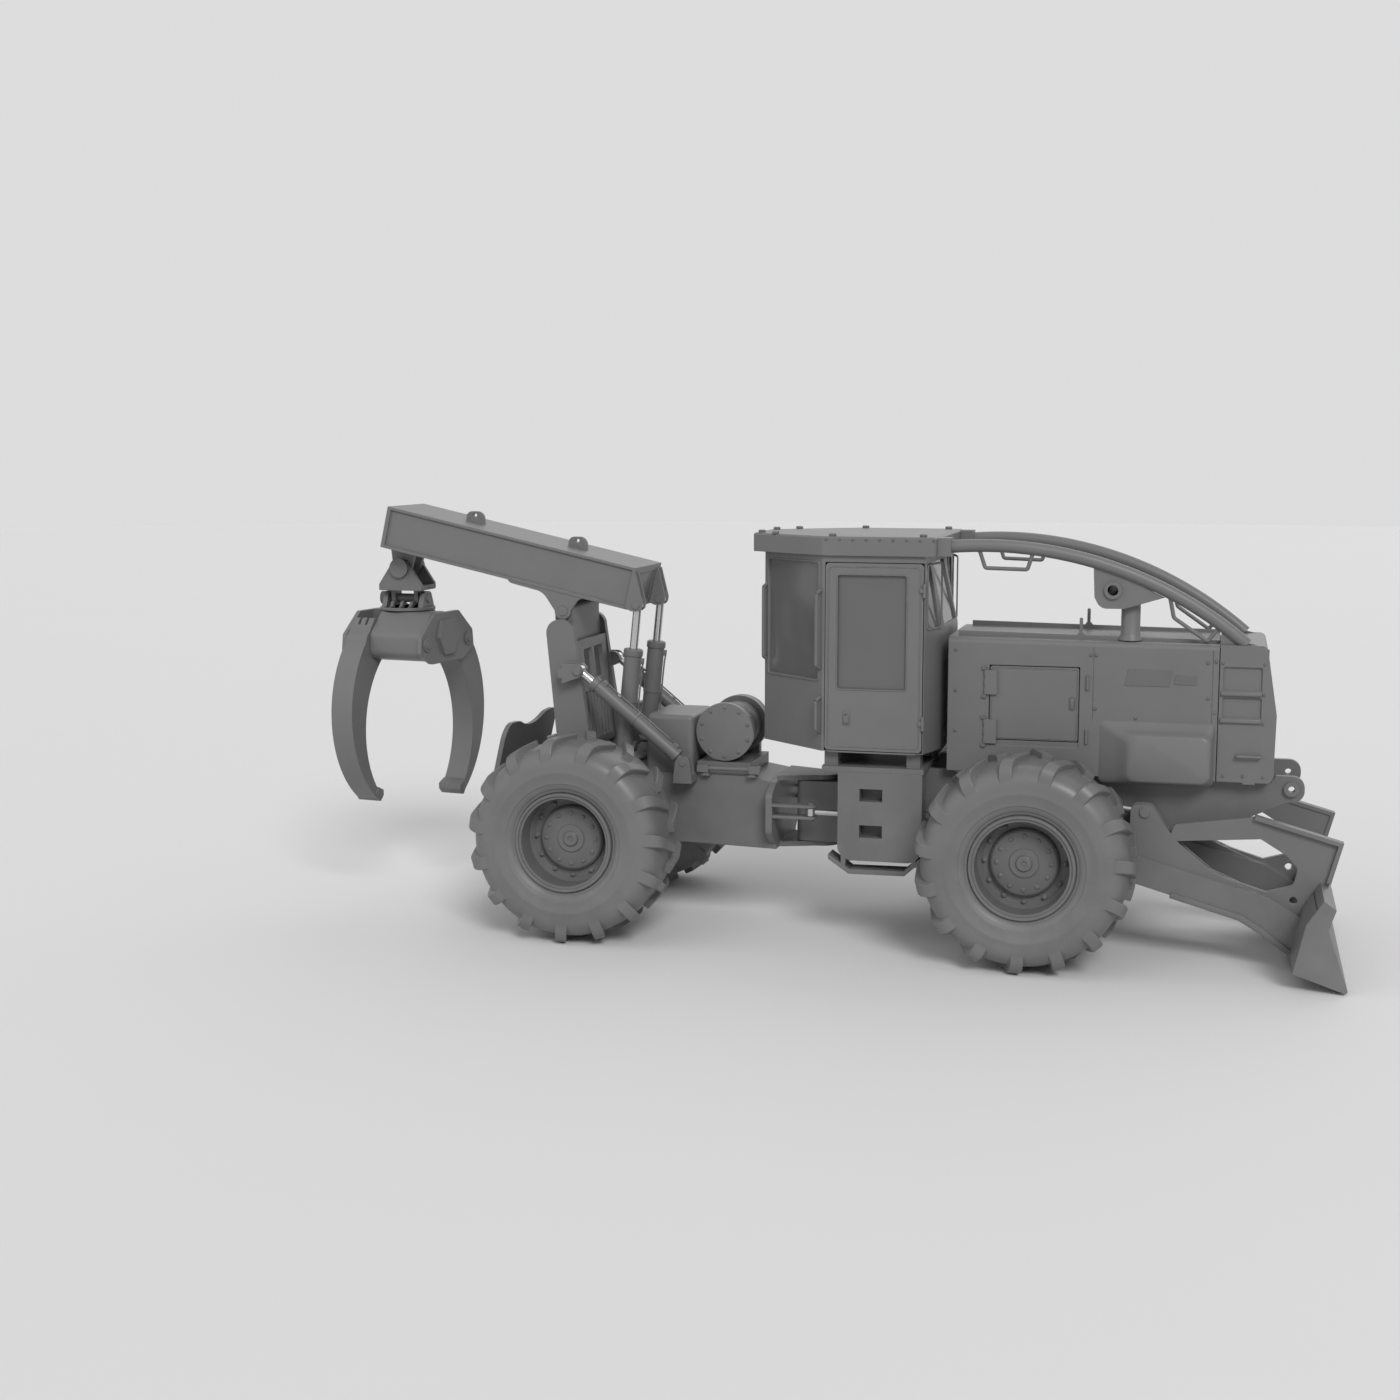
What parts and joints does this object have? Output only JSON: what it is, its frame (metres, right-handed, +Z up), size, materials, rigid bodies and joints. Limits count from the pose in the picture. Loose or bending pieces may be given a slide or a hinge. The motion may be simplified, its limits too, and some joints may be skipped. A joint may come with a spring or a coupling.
{
  "type": "grapple skidder",
  "caption": "Articulated forestry skidder with cab, guarded hood, decking blade, winch, arch, boom and log grapple.",
  "frame": {"origin": "on the ground, halfway between the axles, under the articulation hinge", "axes": "+X forwards towards the blade, +Y to the driver's left, +Z up"},
  "size_m": [9.1095, 3.15, 3.7755],
  "materials": {
    "body_paint": "satin grey",
    "frame_paint": "satin grey",
    "rim_paint": "satin grey",
    "tyre_rubber": "matt grey",
    "cast_parts": "rough",
    "rod_steel": "polished",
    "rope_steel": "wound rope",
    "smoked_glass": "smoked",
    "seat_cover": "matt",
    "core_dark": "matt"
  },
  "bodies": {
    "front_frame": {"front_chassis": "frame_paint", "front_axle": "cast_parts", "engine_block": "cast_parts", "hood_shell": "body_paint", "nose_frame": "body_paint", "radiator_core": "core_dark", "cab_frame": "body_paint", "cab_roof": "body_paint", "cab_glass": "smoked_glass", "seat": "seat_cover", "side_tanks": "frame_paint", "cab_platform": "frame_paint", "guard_tubes": "body_paint", "grab_bars": "frame_paint"},
    "rear_frame": {"rear_chassis": "frame_paint", "arch_cylinder_mounts": "frame_paint", "rear_axle": "cast_parts", "butt_plate": "frame_paint", "winch_housing": "frame_paint", "tank_cover": "body_paint", "lock_bar": "frame_paint"},
    "wheel_front_left": {"tyre_front_left": "tyre_rubber", "rim_front_left": "rim_paint"},
    "wheel_front_right": {"tyre_front_right": "tyre_rubber", "rim_front_right": "rim_paint"},
    "wheel_rear_left": {"tyre_rear_left": "tyre_rubber", "rim_rear_left": "rim_paint"},
    "wheel_rear_right": {"tyre_rear_right": "tyre_rubber", "rim_rear_right": "rim_paint"},
    "cab_door_left": {"cab_door_left": "body_paint", "door_glass_left": "smoked_glass"},
    "hood_door_left": {"hood_door_left": "body_paint"},
    "steer_barrel_left": {"steer_barrel_left": "frame_paint"},
    "steer_rod_left": {"steer_rod_left": "rod_steel"},
    "cab_door_right": {"cab_door_right": "body_paint", "door_glass_right": "smoked_glass"},
    "hood_door_right": {"hood_door_right": "body_paint"},
    "steer_barrel_right": {"steer_barrel_right": "frame_paint"},
    "steer_rod_right": {"steer_rod_right": "rod_steel"},
    "winch_drum": {"winch_drum": "rope_steel"},
    "arch": {"arch": "body_paint"},
    "boom": {"boom": "body_paint"},
    "hanger": {"hanger": "frame_paint"},
    "rotator_yoke": {"rotator_yoke": "frame_paint"},
    "grapple_head": {"grapple_head": "body_paint"},
    "tong_left": {"tong_left": "body_paint"},
    "tong_right": {"tong_right": "body_paint"},
    "blade": {"blade": "body_paint"},
    "arch_barrels": {"arch_barrels": "frame_paint"},
    "arch_rods": {"arch_rods": "rod_steel"},
    "boom_barrels": {"boom_barrels": "frame_paint"},
    "boom_rods": {"boom_rods": "rod_steel"},
    "blade_barrels": {"blade_barrels": "frame_paint"},
    "blade_rods": {"blade_rods": "rod_steel"}
  },
  "joints": [
    {"name": "articulation", "type": "hinge", "parent": "front_frame", "child": "rear_frame", "pos_m": [0, 0, 1.05], "axis": [0, 0, 1], "range_deg": [-40, 40]},
    {"name": "wheel_front_left_spin", "type": "hinge", "parent": "front_frame", "child": "wheel_front_left", "pos_m": [1.976, 1.19, 0.915], "axis": [0, 1, 0], "continuous": true},
    {"name": "wheel_front_right_spin", "type": "hinge", "parent": "front_frame", "child": "wheel_front_right", "pos_m": [1.976, -1.19, 0.915], "axis": [0, 1, 0], "continuous": true},
    {"name": "wheel_rear_left_spin", "type": "hinge", "parent": "rear_frame", "child": "wheel_rear_left", "pos_m": [-1.976, 1.19, 0.915], "axis": [0, 1, 0], "continuous": true},
    {"name": "wheel_rear_right_spin", "type": "hinge", "parent": "rear_frame", "child": "wheel_rear_right", "pos_m": [-1.976, -1.19, 0.915], "axis": [0, 1, 0], "continuous": true},
    {"name": "steer_barrel_left_swing", "type": "hinge", "parent": "front_frame", "child": "steer_barrel_left", "pos_m": [1.25, 0.54, 1.106], "axis": [0, 0, 1], "range_deg": [-0.5, 0.5]},
    {"name": "steer_rod_left_slide", "type": "slide", "parent": "steer_barrel_left", "child": "steer_rod_left", "axis": [-1, 0, 0], "range_m": [-0.345, 0.345]},
    {"name": "steer_barrel_right_swing", "type": "hinge", "parent": "front_frame", "child": "steer_barrel_right", "pos_m": [1.25, -0.54, 1.106], "axis": [0, 0, 1], "range_deg": [-0.5, 0.5]},
    {"name": "steer_rod_right_slide", "type": "slide", "parent": "steer_barrel_right", "child": "steer_rod_right", "axis": [-1, 0, 0], "range_m": [-0.345, 0.345]},
    {"name": "cab_door_left_hinge", "type": "hinge", "parent": "front_frame", "child": "cab_door_left", "pos_m": [1.048, 0.872, 2.5], "axis": [0, 0, -1], "range_deg": [0, 90]},
    {"name": "cab_door_right_hinge", "type": "hinge", "parent": "front_frame", "child": "cab_door_right", "pos_m": [1.048, -0.872, 2.5], "axis": [0, 0, 1], "range_deg": [0, 90]},
    {"name": "hood_door_left_hinge", "type": "hinge", "parent": "front_frame", "child": "hood_door_left", "pos_m": [1.545, 0.624, 2.15], "axis": [0, 0, 1], "range_deg": [0, 110]},
    {"name": "hood_door_right_hinge", "type": "hinge", "parent": "front_frame", "child": "hood_door_right", "pos_m": [1.545, -0.624, 2.15], "axis": [0, 0, -1], "range_deg": [0, 110]},
    {"name": "blade_lift", "type": "hinge", "parent": "front_frame", "child": "blade", "pos_m": [2.45, 0, 0.9], "axis": [0, -1, 0], "range_deg": [-6, 14]},
    {"name": "blade_barrel_swing", "type": "hinge", "parent": "front_frame", "child": "blade_barrels", "pos_m": [1.72, 0, 1.395], "axis": [0, -1, 0], "range_deg": [-2.2, 5]},
    {"name": "blade_rod_slide", "type": "slide", "parent": "blade_barrels", "child": "blade_rods", "axis": [0.9953, 0, -0.0973], "range_m": [-0.112, 0.048]},
    {"name": "arch_tilt", "type": "hinge", "parent": "rear_frame", "child": "arch", "pos_m": [-2.2, 0, 1.33], "axis": [0, -1, 0], "range_deg": [0, 32]},
    {"name": "arch_barrel_swing", "type": "hinge", "parent": "rear_frame", "child": "arch_barrels", "pos_m": [-1.15, 0, 1.51], "axis": [0, -1, 0], "range_deg": [0, 16.5]},
    {"name": "arch_rod_slide", "type": "slide", "parent": "arch_barrels", "child": "arch_rods", "axis": [-0.7743, 0, 0.6328], "range_m": [0, 0.43]},
    {"name": "boom_pitch", "type": "hinge", "parent": "arch", "child": "boom", "pos_m": [-2.345, 0, 2.838], "axis": [0, -1, 0], "range_deg": [-10, 32]},
    {"name": "boom_barrel_swing", "type": "hinge", "parent": "arch", "child": "boom_barrels", "pos_m": [-1.783, 0, 1.48], "axis": [0, -1, 0], "range_deg": [-1.7, 5.3]},
    {"name": "boom_rod_slide", "type": "slide", "parent": "boom_barrels", "child": "boom_rods", "axis": [0.0998, 0, 0.995], "range_m": [-0.12, 0.372]},
    {"name": "hanger_pitch", "type": "hinge", "parent": "boom", "child": "hanger", "pos_m": [-4.055, 0, 3.187], "axis": [0, -1, 0], "range_deg": [-32, 10]},
    {"name": "yoke_roll", "type": "hinge", "parent": "hanger", "child": "rotator_yoke", "pos_m": [-4.055, 0, 2.89], "axis": [1, 0, 0], "range_deg": [-25, 25]},
    {"name": "grapple_turn", "type": "hinge", "parent": "rotator_yoke", "child": "grapple_head", "pos_m": [-4.055, 0, 2.7], "axis": [0, 0, 1], "continuous": true},
    {"name": "tong_left_swing", "type": "hinge", "parent": "grapple_head", "child": "tong_left", "pos_m": [-4.00382, 0.3836, 2.487], "axis": [0.9912, -0.1323, 0], "range_deg": [-25, 45]},
    {"name": "tong_right_swing", "type": "hinge", "parent": "grapple_head", "child": "tong_right", "pos_m": [-4.10618, -0.3836, 2.487], "axis": [-0.9912, 0.1323, 0], "range_deg": [-25, 45]},
    {"name": "winch_spin", "type": "hinge", "parent": "rear_frame", "child": "winch_drum", "pos_m": [-0.841, 0, 1.759], "axis": [0, 1, 0], "continuous": true}
  ],
  "couplings": [
    {"joint": "steer_barrel_left_swing", "follows": "articulation", "ratio": -0.0105},
    {"joint": "steer_barrel_right_swing", "follows": "articulation", "ratio": -0.0105},
    {"joint": "steer_rod_left_slide", "follows": "articulation", "m_per_rad": 0.49},
    {"joint": "steer_rod_right_slide", "follows": "articulation", "m_per_rad": -0.49},
    {"joint": "blade_barrel_swing", "follows": "blade_lift", "ratio": 0.345},
    {"joint": "blade_rod_slide", "follows": "blade_lift", "m_per_rad": -0.45},
    {"joint": "arch_barrel_swing", "follows": "arch_tilt", "ratio": 0.463},
    {"joint": "arch_rod_slide", "follows": "arch_tilt", "m_per_rad": 0.696},
    {"joint": "boom_barrel_swing", "follows": "boom_pitch", "ratio": 0.16},
    {"joint": "boom_rod_slide", "follows": "boom_pitch", "m_per_rad": 0.66},
    {"joint": "hanger_pitch", "follows": "boom_pitch", "ratio": -1},
    {"joint": "tong_right_swing", "follows": "tong_left_swing", "ratio": 1}
  ]
}
